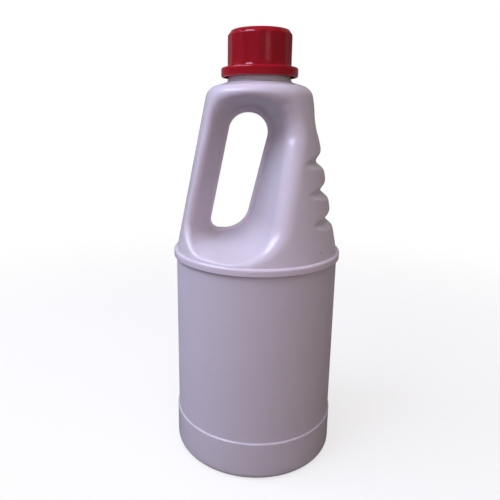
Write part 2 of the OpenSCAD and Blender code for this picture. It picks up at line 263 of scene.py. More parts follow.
def hole_outline():
    """The hole's outline in the plane of the handle, as points and outward directions."""
    foot_x = HANDLE_WIDTH - cone_radius(HOLE_FOOT)
    head_x = HANDLE_WIDTH - cone_radius(HOLE_TOP)
    corners = [
        (foot_x, HOLE_FOOT, HEEL_ROUND),
        (foot_x + HOLE_FOOT_WIDTH, HOLE_FOOT, TOE_ROUND),
        (head_x + HOLE_TOP_WIDTH, HOLE_TOP, CROWN_ROUND),
        (head_x, HOLE_TOP, CROWN_ROUND),
    ]
    points, facing, middles = [], [], []
    for i, (x, z, radius) in enumerate(corners):
        corner = np.array([x, z])
        before = unit(np.array(corners[i - 1][:2]) - corner)
        after = unit(np.array(corners[(i + 1) % 4][:2]) - corner)
        half = math.acos(before @ after) / 2
        middle = corner + unit(before + after) * radius / math.sin(half)
        start = unit(corner + before * radius / math.tan(half) - middle)
        end = unit(corner + after * radius / math.tan(half) - middle)
        whole = math.acos(start @ end)
        for k in range(CORNER_STEPS + 1):
            t = k / CORNER_STEPS
            turn = (math.sin((1 - t) * whole) * start + math.sin(t * whole) * end) / math.sin(whole)
            if k == CORNER_STEPS // 2:
                middles.append(len(points))
            points.append(middle + radius * turn)
            facing.append(turn)
    return np.array(points), np.array(facing), middles


def rays():
    """Where each line across the skin starts on the hole's edge, and where it ends.

    The ends are shares of the skin's length and of the half turn from handle to grip."""
    points, facing, middles = hole_outline()
    n = len(points)
    order = [(middles[0] + k) % n for k in range(n + 1)]
    loop = np.concatenate([points, facing], 1)[order]
    whole = along(loop[:, :2])
    stops = [whole[(m - middles[0]) % n] for m in middles] + [whole[-1]]
    corners = [(0, 0), (0, 1), (1, 1), (1, 0), (0, 0)]
    starts, ends = [], []
    for k, steps in enumerate((FOOT_STEPS, GRIP_STEPS, ROOF_STEPS, SIDE_STEPS)):
        share = np.arange(steps) / steps
        where = stops[k] + (stops[k + 1] - stops[k]) * share
        starts.append(np.stack([np.interp(where, whole, loop[:, c]) for c in range(4)], -1))
        a, b = np.array(corners[k], float), np.array(corners[k + 1], float)
        ends.append(a + (b - a) * share[:, None])
    starts = np.concatenate(starts)
    return starts[:, :2], unit(starts[:, 2:]), np.concatenate(ends)


def by_side(facing, handle, body, roof, floor):
    """A size that changes round the hole, from its four sides."""
    sideways = np.where(facing[:, 0] < 0, handle, body) * facing[:, 0] ** 2
    return sideways + np.where(facing[:, 1] > 0, roof, floor) * facing[:, 1] ** 2


def scoop_sheet(skin, wall_steps, bend_steps, far_steps):
    """Front half of the upper part as a grid: rows run out from the hole's edge."""
    start, facing, end = rays()
    spread = by_side(facing, *SCOOP_SPREAD)
    rim = by_side(facing, *RIM_WIDTH)
    rim_round = RIM_ROUND_SHARE * rim
    edge = by_side(facing, *EDGE_ROUND) - skin.inset
    foot = rim + skin.inset * np.sqrt(1 + spread**2)

    def across(out, depth):
        spot = start + facing * out[:, None]
        return np.stack([spot[:, 0], -depth, spot[:, 1]], -1)

    def wall_out(depth):
        return foot + spread * (depth - WEB / 2)

    def skin_depth(out):
        spot = start + facing * out[:, None]
        return np.sqrt(np.maximum(skin.radius_at(spot[:, 1]) ** 2 - spot[:, 0] ** 2, 0.01))

    # Depth at which the scoop's wall comes out through the skin
    low = np.full(len(start), WEB / 2)
    high = np.full(len(start), FAR_OUT)
    for _ in range(HALVINGS):
        depth = (low + high) / 2
        outside = depth > skin_depth(wall_out(depth))
        high = np.where(outside, depth, high)
        low = np.where(outside, low, depth)
    corner_out, corner_depth = wall_out(low), low

    # The rounded edge runs as far along the skin as along the wall
    up_wall = unit(np.stack([spread, np.ones_like(spread)], -1))
    after = np.stack([skin_depth(corner_out + 1.0), skin_depth(corner_out)])
    down_skin = unit(np.stack([np.ones_like(spread), after[0] - after[1]], -1))
    half = np.arccos(np.clip(-(up_wall * down_skin).sum(1), -1, 1)) / 2
    length = edge / np.tan(half)
    reach = np.linspace(0, 1, 121)[:, None] * (length * 1.2)
    outs = corner_out + reach
    depths = np.stack([skin_depth(o) for o in outs])
    steps = np.hypot(np.diff(outs, axis=0), np.diff(depths, axis=0))
    gone = np.concatenate([np.zeros((1, len(start))), np.cumsum(steps, 0)])
    leave_out = np.array([np.interp(length[i], gone[:, i], outs[:, i]) for i in range(len(start))])
    leave_depth = skin_depth(leave_out)
    near = 0.4
    slope = (skin_depth(leave_out + near) - skin_depth(leave_out - near)) / (2 * near)
    # Corner of the two tangents
    corner_out = (leave_depth - slope * leave_out + foot / spread - WEB / 2) / (1 / spread - slope)
    corner_depth = WEB / 2 + (corner_out - foot) / spread
    skin_leg = np.hypot(leave_out - corner_out, leave_depth - corner_depth)
    join_out = corner_out - up_wall[:, 0] * skin_leg
    join_depth = corner_depth - up_wall[:, 1] * skin_leg

    rows = []
    if skin.inset:
        rows.append(across(wall_out(0.0), np.zeros(len(start))))
    else:
        # The mould pinched a fine fin where its halves met, and the rim is rounded on both sides
        rows.append(across(-FIN_REACH + 0 * rim, 0 * rim))
        rows.append(across(0 * rim, FIN_HALF + 0 * rim))
        for k in range(RIM_STEPS + 1):
            turn = math.pi / 2 * k / RIM_STEPS
            in_from_rim = rim_round * (1 - math.sin(turn))
            rows.append(across(rim_round * (1 - math.cos(turn)), WEB / 2 - in_from_rim))
        # Rounded foot of the scoop's wall
        for k in range(1, RIM_FOOT_STEPS + 1):
            t = k / RIM_FOOT_STEPS
            out = rim - rim_round * (1 - t) ** 2 + up_wall[:, 0] * rim_round * t**2
            rows.append(across(out, WEB / 2 + up_wall[:, 1] * rim_round * t**2))
    first = rim_round if not skin.inset else -(WEB / 2) / up_wall[:, 1]
    from_out, from_depth = foot + up_wall[:, 0] * first, WEB / 2 + up_wall[:, 1] * first
    for k in range(1, wall_steps):
        t = k / wall_steps
        out = from_out + (join_out - from_out) * t
        rows.append(across(out, from_depth + (join_depth - from_depth) * t))
    arc_weight = np.sin(half)
    for k in range(bend_steps + 1):
        t = k / bend_steps
        a, b, c = (1 - t) ** 2, 2 * t * (1 - t) * arc_weight, t**2
        total = a + b + c
        out = (a * join_out + b * corner_out + c * leave_out) / total
        depth = (a * join_depth + b * corner_depth + c * leave_depth) / total
        rows.append(across(out, depth))

    # From the rounded edge on, the rows follow the skin itself
    spot = start + facing * leave_out[:, None]
    heights = skin.profile[:, 1]
    distance = np.interp(spot[:, 1], heights, along(skin.profile))
    azimuth = np.arctan2(spot[:, 0], leave_depth)
    goal_distance = end[:, 0] * skin.length
    goal_azimuth = (end[:, 1] - 0.5) * math.pi
    for k in range(1, far_steps + 1):
        t = k / far_steps
        gone_down = distance + (goal_distance - distance) * t
        rows.append(skin.place(gone_down, azimuth + (goal_azimuth - azimuth) * t))
    rows = np.array(rows)
    # The silhouette's points lie exactly in the plane of the handle
    on_plane = np.isclose(np.abs(goal_azimuth), math.pi / 2)
    rows[-1][on_plane, 1] = 0.0
    return rows


class Shell:
    """Points and faces of one mesh, collected piece by piece."""

    def __init__(self):
        self.points = []
        self.faces = []
        self.count = 0

    def add(self, grid, closed=True, turned=False):
        """Adds a grid of points [rows, columns] as quads."""
        rows, columns = grid.shape[:2]
        self.points.append(grid.reshape(-1, 3))
        last = columns if closed else columns - 1
        for i in range(rows - 1):
            for j in range(last):
                a = self.count + i * columns + j
                b = self.count + i * columns + (j + 1) % columns
                face = (a, b, b + columns, a + columns)
                self.faces.append(face[::-1] if turned else face)
        self.count += rows * columns

    def add_cap(self, ring, tip):
        """Closes a ring of points with a fan round one point."""
        self.points.append(np.vstack([ring, [tip]]))
        n = len(ring)
        for j in range(n):
            self.faces.append((self.count + j, self.count + (j + 1) % n, self.count + n))
        self.count += n + 1


def make_object(name, points, faces, sharp=50.0):
    """Mesh object from points in millimetres, merged, with its faces outwards and smooth."""
    mesh = bpy.data.meshes.new(name)
    mesh.from_pydata((np.asarray(points) * MM).tolist(), [], faces)
    work = bmesh.new()
    work.from_mesh(mesh)
    bmesh.ops.remove_doubles(work, verts=work.verts, dist=1e-6)
    bmesh.ops.dissolve_degenerate(work, edges=work.edges, dist=1e-7)
    bmesh.ops.recalc_face_normals(work, faces=work.faces)
    work.to_mesh(mesh)
    work.free()
    mesh.shade_smooth()
    mesh.set_sharp_from_angle(angle=math.radians(sharp))
    thing = bpy.data.objects.new(name, mesh)
    bpy.context.scene.collection.objects.link(thing)
    return thing


def turned_rings(profile, azimuths):
    """Rings of points for a profile (radius, height) at angles from the front."""
    radius = profile[:, 0][:, None]
    z = np.repeat(profile[:, 1][:, None], len(azimuths), 1)
    return np.stack([radius * np.sin(azimuths), -radius * np.cos(azimuths), z], -1)


def whole_ring(count):
    """Evenly spaced angles of a whole ring."""
    return np.arange(count) / count * 2 * math.pi


def ring_angles(goal):
    """Angles of a whole ring, from the front half's angles."""
    return np.concatenate([goal, math.pi - goal[::-1][1:-1]])


def base_profile(inset):
    """Profile of the base, from the base band's side to the middle of its underside."""
    stand_out = BAND_R - BASE_ROUND
    stand_in = stand_out - STAND_WIDTH
    big = (stand_in**2 + PUSH_UP**2) / (2 * PUSH_UP)
    turn = np.linspace(0, math.pi / 2, 11)
    edge_r = BASE_ROUND - inset
    bend = np.stack([stand_out + edge_r * np.cos(turn), BASE_ROUND - edge_r * np.sin(turn)], -1)
    radius = np.linspace(stand_in, 0.5, 24)
    height = np.maximum(PUSH_UP - big + np.sqrt((big + inset) ** 2 - radius**2), inset)
    stand = np.array([[stand_out - STAND_EASE, inset], [stand_in + STAND_EASE, inset]])
    return np.vstack([bend, stand, np.stack([radius, height], -1)])


outer = Skin(inset=0.0, end_radius=COLLAR_FOOT_R, widen=0.0, deepen=0.0)
inner = Skin(inset=WALL, end_radius=MOUTH_R, widen=0.9, deepen=0.3)
half_turn = (rays()[2][:, 1] - 0.5) * math.pi
foot_angles = ring_angles(np.append(half_turn[:FOOT_STEPS], math.pi / 2))
roof_start = FOOT_STEPS + GRIP_STEPS
roof_front = half_turn[roof_start : roof_start + ROOF_STEPS + 1][::-1]
roof_angles = ring_angles(roof_front)

shell = Shell()
fronts = [
    scoop_sheet(outer, wall_steps=16, bend_steps=12, far_steps=28),
    scoop_sheet(inner, wall_steps=6, bend_steps=4, far_steps=10),
]
for front in fronts:
    shell.add(front)
    shell.add(front * np.array([1, -1, 1]), turned=True)

side_profile = filleted(
    [
        (CONE_FOOT_R, CONE_FOOT, 0, 0),
        (BEAD_R - 0.3, CONE_FOOT - 0.1, 0, 0),
        (BEAD_R, BEAD_FOOT + BEAD_RISE, 0.3, 3),
        (PANEL_R, BEAD_FOOT, 0.3, 3),
        (PANEL_R, BAND_TOP, 0.35, 3),
        (BAND_R, BAND_TOP - BAND_RISE, 0.35, 4),
        (BAND_R, BASE_ROUND, 0, 0),
    ]
)
# The bead's upper edge is a round in place of the profile's second point
bead_turn = np.linspace(math.radians(80), 0, 9)
bead_out = BEAD_R - BEAD_ROUND * (1 - np.cos(bead_turn))
bead_up = CONE_FOOT - BEAD_ROUND * (1 - np.sin(bead_turn))
bead_edge = np.stack([bead_out, bead_up], -1)
side_profile = np.vstack([side_profile[:1], bead_edge, side_profile[2:]])
low_profile = spaced(np.vstack([side_profile[:-1], base_profile(0.0)]), 4.0)
rings = turned_rings(low_profile, foot_angles)
shell.add(rings)
shell.add_cap(rings[-1], (0, 0, PUSH_UP))

inner_foot = np.array([[cone_radius(CONE_FOOT, WALL), CONE_FOOT], [PANEL_R - WALL, BEAD_FOOT]])
inner_side = [[PANEL_R - WALL, BAND_TOP], [BAND_R - WALL, BAND_TOP - BAND_RISE]]
inner_low = spaced(np.vstack([inner_foot, inner_side, base_profile(WALL)]), 8.0)
rings = turned_rings(inner_low, foot_angles)
shell.add(rings)
shell.add_cap(rings[-1], (0, 0, PUSH_UP + WALL))

neck_profile = filleted(
    [
        (COLLAR_FOOT_R, shoulder_slope(COLLAR_FOOT_R), 0, 0),
        (COLLAR_R, COLLAR_TOP, 1.0, 6),
        (NECK_R, COLLAR_TOP, 0.3, 3),
        (NECK_R, MOUTH_Z, 0.5, 4),
        (MOUTH_R, MOUTH_Z, 0.4, 4),
        (MOUTH_R, shoulder_slope(MOUTH_R, WALL), 0, 0),
    ]
)
shell.add(turned_rings(spaced(neck_profile, 2.0), roof_angles))

bottle = make_object("bottle_shell", np.vstack(shell.points), shell.faces)

# Fine ridge that the mould's parting line left up both sides, from the bead to the neck
SEAM_PROUD = 0.08
SEAM_HALF = 0.3
SEAM_FADE = 4
SEAM_SECTION = ((-1, -0.3), (-0.35, 1), (0.35, 1), (1, -0.3))
seam_shell = Shell()
in_plane = fronts[0][-1][fronts[0][-1][:, 1] == 0][:, [0, 2]]
for side in (-1, 1):
    line = in_plane[(in_plane[:, 0] * side > 0) & (in_plane[:, 1] > CONE_FOOT + 1)]
    line = line[np.argsort(line[:, 1])]
    uphill = unit(np.gradient(line, axis=0))
    outward = np.stack([uphill[:, 1], -uphill[:, 0]], -1) * side
    gone = along(line)
    fade = np.clip(np.minimum(gone, gone[-1] - gone) / SEAM_FADE, 0, 1) * SEAM_PROUD
    ring = []
    for across, proud in SEAM_SECTION:
        spot = line + outward * (proud * fade)[:, None]
        ring.append(np.stack([spot[:, 0], np.full(len(line), across * SEAM_HALF), spot[:, 1]], -1))
    ring = np.stack(ring, 1)
    seam_shell.add(ring)
    seam_shell.add_cap(ring[0], ring[0].mean(0))
    seam_shell.add_cap(ring[-1], ring[-1].mean(0))
seam = make_object("parting_line", np.vstack(seam_shell.points), seam_shell.faces, 80.0)


def add_node(tree, kind, inputs=(), **settings):
    """A node with its settings, and its inputs set to values or linked to sockets."""
    node = tree.nodes.new(kind)
    for name, value in settings.items():
        setattr(node, name, value)
    for name, value in dict(inputs).items():
        if isinstance(value, bpy.types.NodeSocket):
            tree.links.new(value, node.inputs[name])
        else:
            node.inputs[name].default_value = value
    return node


def hex_colour(code):
    """Linear colour from an sRGB hex value."""
    parts = [int(code[k : k + 2], 16) / 255 for k in (1, 3, 5)]
    return [c / 12.92 if c < 0.04045 else ((c + 0.055) / 1.055) ** 2.4 for c in parts] + [1.0]


def new_material(name):
    """An empty material with its tree, its Object coordinates and its output node."""
    material = bpy.data.materials.new(name)
    material.use_nodes = True
    tree = material.node_tree
    tree.nodes.clear()
    place = add_node(tree, "ShaderNodeTexCoord").outputs["Object"]
    output = add_node(tree, "ShaderNodeOutputMaterial")
    return material, tree, place, output


# Blown high-density polyethylene: a waxy white, glossy where the mould was polished.
# The label panel was blasted, so it is duller, and the surface has a faint orange peel.
PANEL_DULL = 0.46
POLISHED = 0.15
SPECK_PLACE = (0.0339, -0.0300, 0.1264)
polyethylene, tree, place, output = new_material("blown_polyethylene")
height = add_node(tree, "ShaderNodeSeparateXYZ", {"Vector": place}).outputs["Z"]
above_band = add_node(
    tree, "ShaderNodeMapRange",
    {"Value": height, "From Min": (BAND_TOP - 0.8) * MM, "From Max": (BAND_TOP + 0.6) * MM},
).outputs["Result"]
below_bead = add_node(
    tree, "ShaderNodeMapRange",
    {
        "Value": height, "From Min": (BEAD_FOOT - 0.7) * MM, "From Max": (BEAD_FOOT + 0.5) * MM,
        "To Min": 1.0, "To Max": 0.0,
    },
).outputs["Result"]
on_panel = add_node(
    tree, "ShaderNodeMath", {0: above_band, 1: below_bead}, operation="MULTIPLY"
).outputs[0]
cloudy = add_node(
    tree, "ShaderNodeTexNoise", {"Vector": place, "Scale": 42.0, "Detail": 4.0, "Roughness": 0.55}
).outputs["Fac"]
# Cells of the orange peel are about 1.6 mm wide
peel = add_node(
    tree, "ShaderNodeTexNoise", {"Vector": place, "Scale": 620.0, "Detail": 2.0, "Roughness": 0.5}
).outputs["Fac"]
sway = add_node(
    tree, "ShaderNodeTexNoise", {"Vector": place, "Scale": 55.0, "Detail": 1.0, "Roughness": 0.4}
).outputs["Fac"]
gloss = add_node(
    tree, "ShaderNodeMapRange", {"Value": on_panel, "To Min": POLISHED, "To Max": PANEL_DULL}
).outputs["Result"]
blotch = add_node(
    tree, "ShaderNodeMapRange",
    {"Value": cloudy, "From Min": 0.3, "From Max": 0.7, "To Min": -0.035, "To Max": 0.035},
).outputs["Result"]
roughness = add_node(tree, "ShaderNodeMath", {0: gloss, 1: blotch}, operation="ADD").outputs[0]
tint = add_node(
    tree, "ShaderNodeMix",
    {"Factor": cloudy, 6: hex_colour("#d0c5d0"), 7: hex_colour("#d5cad4")},
    data_type="RGBA",
).outputs[2]
# A small dark speck on the foot of the cone
speck_gap = add_node(
    tree, "ShaderNodeVectorMath", {0: place, 1: SPECK_PLACE}, operation="DISTANCE"
).outputs["Value"]
off_speck = add_node(
    tree, "ShaderNodeMapRange", {"Value": speck_gap, "From Min": 0.00022, "From Max": 0.0004}
).outputs["Result"]
colour = add_node(
    tree, "ShaderNodeMix", {"Factor": off_speck, 6: hex_colour("#4c4046"), 7: tint}, data_type="RGBA"
).outputs[2]
peel_bump = add_node(
    tree, "ShaderNodeBump", {"Height": peel, "Strength": 0.35, "Distance": 0.00003}
).outputs["Normal"]
sway_bump = add_node(
    tree, "ShaderNodeBump", {"Height": sway, "Strength": 0.5, "Distance": 0.0004, "Normal": peel_bump}
).outputs["Normal"]
shader = add_node(
    tree, "ShaderNodeBsdfPrincipled",
    {
        "Base Color": colour, "Roughness": roughness, "Normal": sway_bump, "IOR": 1.52,
        "Subsurface Weight": 0.5, "Subsurface Radius": (1.0, 0.85, 0.9), "Subsurface Scale": 0.004,
    },
)
tree.links.new(shader.outputs[0], output.inputs["Surface"])
bottle.data.materials.append(polyethylene)
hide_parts("bottle")
seam.data.materials.append(polyethylene)
for thing in (bottle, seam):
    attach(thing, "bottle")

# Screw thread of the neck: one rounded ridge of one and a half turns, blown with the shell.
# Its pitch is 4.2 mm, it stands 1 mm proud, and both of its ends run down into the neck.
PITCH = 4.2
TURNS = 1.5
THREAD_TOP = MOUTH_Z - 2.6
THREAD_ROOT = 1.1
THREAD_CREST = 0.45
THREAD_HEIGHT = 1.3
THREAD_SHIFT = 0.35
CAP_THREAD_SHARE = 0.9
CAP_THREAD_GAP = 0.3


def input_sockets(tree, numbers):
    """Adds a geometry tree's named number inputs and its material, and lists their identifiers."""
    kinds = {name: "NodeSocketFloat" for name in numbers}
    kinds["Material"] = "NodeSocketMaterial"
    return {
        name: tree.interface.new_socket(name, in_out="INPUT", socket_type=kind).identifier
        for name, kind in kinds.items()
    }


def thread_tree():
    """Geometry Nodes that sweep the thread's section along a screw line."""
    tree = bpy.data.node_groups.new("screw_thread", "GeometryNodeTree")
    numbers = ("Turns", "Pitch", "Radius", "Shift", "Foot", "Height", "Root", "Crest")
    names = input_sockets(tree, numbers)
    tree.interface.new_socket("Geometry", in_out="OUTPUT", socket_type="NodeSocketGeometry")
    given = add_node(tree, "NodeGroupInput").outputs
    rise = add_node(tree, "ShaderNodeMath", {0: given["Turns"], 1: given["Pitch"]}, operation="MULTIPLY")
    line = add_node(
        tree, "GeometryNodeCurveSpiral",
        {
            "Resolution": 64, "Rotations": given["Turns"], "Start Radius": given["Radius"],
            "End Radius": given["Radius"], "Height": rise.outputs[0], "Reverse": True,
        },
    )
    upright = add_node(tree, "GeometryNodeSetCurveNormal", {"Curve": line.outputs[0]}, mode="Z_UP")
    share = add_node(tree, "GeometryNodeSplineParameter").outputs["Factor"]
    from_end = add_node(tree, "ShaderNodeMath", {0: 1.0, 1: share}, operation="SUBTRACT").outputs[0]
    nearer = add_node(tree, "ShaderNodeMath", {0: share, 1: from_end}, operation="MINIMUM").outputs[0]
    taper = add_node(
        tree, "ShaderNodeMapRange",
        {"Value": nearer, "From Max": 0.06, "To Min": 0.05, "To Max": 1.0},
        interpolation_type="SMOOTHSTEP",
    ).outputs["Result"]
    tapered = add_node(
        tree, "GeometryNodeSetCurveRadius", {"Curve": upright.outputs[0], "Radius": taper}
    ).outputs[0]
    section = add_node(
        tree, "GeometryNodeCurvePrimitiveQuadrilateral",
        {
            "Bottom Width": given["Root"], "Top Width": given["Crest"], "Height": given["Height"],
            "Offset": 0.0,
        },
        mode="TRAPEZOID",
    ).outputs[0]
    rounded = add_node(
        tree, "GeometryNodeFilletCurve", {"Curve": section, "Count": 3, "Radius": 0.0002}, mode="POLY"
    ).outputs[0]
    # The section stands on the wall, so that the ends of the thread sink into it
    off_wall = add_node(tree, "ShaderNodeCombineXYZ", {"X": given["Shift"]}).outputs[0]
    standing = add_node(
        tree, "GeometryNodeTransform",
        {"Geometry": rounded, "Translation": off_wall, "Rotation": (0, 0, -math.pi / 2)},
    ).outputs[0]
    ridge = add_node(
        tree, "GeometryNodeCurveToMesh",
        {"Curve": tapered, "Profile Curve": standing, "Fill Caps": True, "Scale": taper},
    )
    place = add_node(tree, "ShaderNodeCombineXYZ", {"Z": given["Foot"]}).outputs[0]
    turned = add_node(
        tree, "GeometryNodeTransform",
        {"Geometry": ridge.outputs[0], "Translation": place, "Rotation": (0, 0, math.pi)},
    )
    smooth = add_node(tree, "GeometryNodeSetShadeSmooth", {"Geometry": turned.outputs[0]}).outputs[0]
    real = add_node(tree, "GeometryNodeRealizeInstances", {"Geometry": smooth}).outputs[0]
    done = add_node(tree, "GeometryNodeSetMaterial", {"Geometry": real, "Material": given["Material"]})
    output = add_node(tree, "NodeGroupOutput")
    tree.links.new(done.outputs[0], output.inputs[0])
    return tree, names


def with_nodes(name, mesh, tree, names, values):
    """Object whose mesh is what the tree makes of the given one, as a plain mesh."""
    thing = bpy.data.objects.new(name, mesh)
    bpy.context.scene.collection.objects.link(thing)
    modifier = thing.modifiers.new("nodes", "NODES")
    modifier.node_group = tree
    for key, value in values.items():
        modifier[names[key]] = value
    bpy.context.view_layer.update()
    seen = thing.evaluated_get(bpy.context.evaluated_depsgraph_get())
    made = bpy.data.meshes.new_from_object(seen)
    thing.modifiers.clear()
    thing.data = made
    return thing


thread_nodes, thread_names = thread_tree()
neck_thread = with_nodes(
    "neck_thread", bpy.data.meshes.new("neck_thread"), thread_nodes, thread_names,
    {
        "Turns": TURNS, "Pitch": PITCH * MM, "Radius": NECK_R * MM, "Shift": THREAD_SHIFT * MM,
        "Foot": (THREAD_TOP - THREAD_ROOT - PITCH * TURNS) * MM, "Height": THREAD_HEIGHT * MM,
        "Root": 2 * THREAD_ROOT * MM, "Crest": 2 * THREAD_CREST * MM, "Material": polyethylene,
    },
)
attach(neck_thread, "bottle")

# Screw cap, injection-moulded in red polypropylene, with shallow flutes for grip.
# A hollow skirt stands round its foot, and its mould left a gloss on every face.
CAP_R = 17.45
CAP_IN_R = 16.0
CAP_TOP = 240.2
CAP_CEILING = 238.4
CAP_FOOT = 217.6
BEVEL_WIDTH = 1.9
BEVEL_HEIGHT = 2.6
SKIRT_R = 20.9
SKIRT_IN_R = 19.6
SKIRT_TOP = 221.4
SKIRT_FOOT = 216.4
SKIRT_WEB = 1.3
FLUTES = 14
FLUTE_DEPTH = 0.4
FLUTE_LAND = 1.2
FLUTE_LIFT = 0.3
FLUTE_COLUMNS = 20
MIDDLE_R = 0.4
FLUTE_TURN = math.radians(-94.9)

cap_outside = filleted(
    [
        (MIDDLE_R, CAP_TOP, 0, 0),
        (CAP_R - BEVEL_WIDTH, CAP_TOP, 0.4, 5),
        (CAP_R, CAP_TOP - BEVEL_HEIGHT, 0.3, 5),
        (CAP_R, SKIRT_TOP, 0.35, 4),
        (SKIRT_R, SKIRT_TOP, 1.0, 8),
        (SKIRT_R, SKIRT_FOOT, 0.9, 8),
        (SKIRT_IN_R, SKIRT_FOOT, 0.15, 2),
        (SKIRT_IN_R, SKIRT_TOP - SKIRT_WEB, 0.3, 3),
        (CAP_R, SKIRT_TOP - SKIRT_WEB, 0.2, 2),
        (CAP_R, CAP_FOOT, 0.25, 2),
        (CAP_IN_R, CAP_FOOT, 0.3, 3),
        (CAP_IN_R, CAP_CEILING, 0.3, 3),
        (MIDDLE_R, CAP_CEILING, 0, 0),
    ],
    edge=0.12,
)
cap_angles = whole_ring(FLUTES * FLUTE_COLUMNS)
cap_rings = turned_rings(spaced(cap_outside, 1.5), cap_angles)
cap_shell = Shell()
cap_shell.add(cap_rings)
cap_shell.add_cap(cap_rings[0], (0, 0, CAP_TOP))
cap_shell.add_cap(cap_rings[-1], (0, 0, CAP_CEILING))
plain_cap = make_object("plain_cap", np.vstack(cap_shell.points), cap_shell.faces)


def flute_tree():
    """Geometry Nodes that press shallow round flutes into the cap's side."""
    tree = bpy.data.node_groups.new("cap_flutes", "GeometryNodeTree")
    tree.interface.new_socket("Geometry", in_out="INPUT", socket_type="NodeSocketGeometry")
    names = input_sockets(tree, ("Flutes", "Depth", "Land", "Radius", "Low Edge", "Turn"))
    tree.interface.new_socket("Geometry", in_out="OUTPUT", socket_type="NodeSocketGeometry")
    given = add_node(tree, "NodeGroupInput").outputs
    spot = add_node(tree, "GeometryNodeInputPosition").outputs[0]
    axes = add_node(tree, "ShaderNodeSeparateXYZ", {"Vector": spot}).outputs
    angle = add_node(
        tree, "ShaderNodeMath", {0: axes["Y"], 1: axes["X"]}, operation="ARCTAN2"
    ).outputs[0]
    turned = add_node(
        tree, "ShaderNodeMath", {0: angle, 1: given["Turn"]}, operation="SUBTRACT"
    ).outputs[0]
    per_flute = add_node(
        tree, "ShaderNodeMath", {0: 2 * math.pi, 1: given["Flutes"]}, operation="DIVIDE"
    ).outputs[0]
    count = add_node(tree, "ShaderNodeMath", {0: turned, 1: per_flute}, operation="DIVIDE").outputs[0]
    share = add_node(tree, "ShaderNodeMath", {0: count}, operation="FRACT").outputs[0]
    centred = add_node(tree, "ShaderNodeMath", {0: share, 1: 0.5}, operation="SUBTRACT").outputs[0]
    width = add_node(
        tree, "ShaderNodeMath", {0: per_flute, 1: given["Radius"]}, operation="MULTIPLY"
    ).outputs[0]
    aside = add_node(tree, "ShaderNodeMath", {0: centred, 1: width}, operation="MULTIPLY").outputs[0]
    open_width = add_node(
        tree, "ShaderNodeMath", {0: width, 1: given["Land"]}, operation="SUBTRACT"
    ).outputs[0]
    half = add_node(tree, "ShaderNodeMath", {0: open_width, 1: 0.5}, operation="MULTIPLY").outputs[0]
    ratio = add_node(tree, "ShaderNodeMath", {0: aside, 1: half}, operation="DIVIDE").outputs[0]
    square = add_node(tree, "ShaderNodeMath", {0: ratio, 1: ratio}, operation="MULTIPLY").outputs[0]
    press = add_node(
        tree, "ShaderNodeMath", {0: 1.0, 1: square}, operation="SUBTRACT", use_clamp=True
    ).outputs[0]
    sunk = add_node(
        tree, "ShaderNodeMath", {0: press, 1: given["Depth"]}, operation="MULTIPLY"
    ).outputs[0]
    limit = add_node(
        tree, "ShaderNodeMath", {0: given["Radius"], 1: sunk}, operation="SUBTRACT"
    ).outputs[0]
    flat = add_node(tree, "ShaderNodeCombineXYZ", {"X": axes["X"], "Y": axes["Y"]}).outputs[0]
    radius = add_node(tree, "ShaderNodeVectorMath", {0: flat}, operation="LENGTH").outputs["Value"]
    kept = add_node(tree, "ShaderNodeMath", {0: radius, 1: limit}, operation="MINIMUM").outputs[0]
    above = add_node(
        tree, "ShaderNodeMath", {0: axes["Z"], 1: given["Low Edge"]}, operation="SUBTRACT"
    ).outputs[0]
    fade = add_node(
        tree, "ShaderNodeMapRange", {"Value": above, "From Max": 0.0005, "To Max": 1.0}
    ).outputs["Result"]
    change = add_node(tree, "ShaderNodeMath", {0: kept, 1: radius}, operation="SUBTRACT").outputs[0]
    applied = add_node(
        tree, "ShaderNodeMath", {0: change, 1: fade, 2: radius}, operation="MULTIPLY_ADD"
    ).outputs[0]
    scale = add_node(tree, "ShaderNodeMath", {0: applied, 1: radius}, operation="DIVIDE").outputs[0]
    x = add_node(tree, "ShaderNodeMath", {0: axes["X"], 1: scale}, operation="MULTIPLY").outputs[0]
    y = add_node(tree, "ShaderNodeMath", {0: axes["Y"], 1: scale}, operation="MULTIPLY").outputs[0]
    pressed = add_node(tree, "ShaderNodeCombineXYZ", {"X": x, "Y": y, "Z": axes["Z"]}).outputs[0]
    moved = add_node(
        tree, "GeometryNodeSetPosition", {"Geometry": given["Geometry"], "Position": pressed}
    ).outputs[0]
    real = add_node(tree, "GeometryNodeRealizeInstances", {"Geometry": moved}).outputs[0]
    done = add_node(tree, "GeometryNodeSetMaterial", {"Geometry": real, "Material": given["Material"]})
    output = add_node(tree, "NodeGroupOutput")
    tree.links.new(done.outputs[0], output.inputs[0])
    return tree, names


# Red polypropylene, moulded and glossy, a little duller where hands have rubbed it
polypropylene, tree, place, output = new_material("moulded_polypropylene")
rubbed = add_node(
    tree, "ShaderNodeTexNoise", {"Vector": place, "Scale": 90.0, "Detail": 5.0, "Roughness": 0.6}
).outputs["Fac"]
grain = add_node(
    tree, "ShaderNodeTexNoise", {"Vector": place, "Scale": 1400.0, "Detail": 1.0}
).outputs["Fac"]
roughness = add_node(
    tree, "ShaderNodeMapRange",
    {"Value": rubbed, "From Min": 0.3, "From Max": 0.7, "To Min": 0.09, "To Max": 0.14},
).outputs["Result"]
colour = add_node(
    tree, "ShaderNodeMix", {"Factor": rubbed, 6: hex_colour("#97101f"), 7: hex_colour("#a41726")},
    data_type="RGBA",
).outputs[2]
bump = add_node(
    tree, "ShaderNodeBump", {"Height": grain, "Strength": 0.3, "Distance": 0.00001}
).outputs["Normal"]
shader = add_node(
    tree, "ShaderNodeBsdfPrincipled",
    {
        "Base Color": colour, "Roughness": roughness, "Normal": bump, "IOR": 1.49,
        "Subsurface Weight": 0.7, "Subsurface Radius": (1.0, 0.1, 0.1), "Subsurface Scale": 0.005,
    },
)
tree.links.new(shader.outputs[0], output.inputs["Surface"])

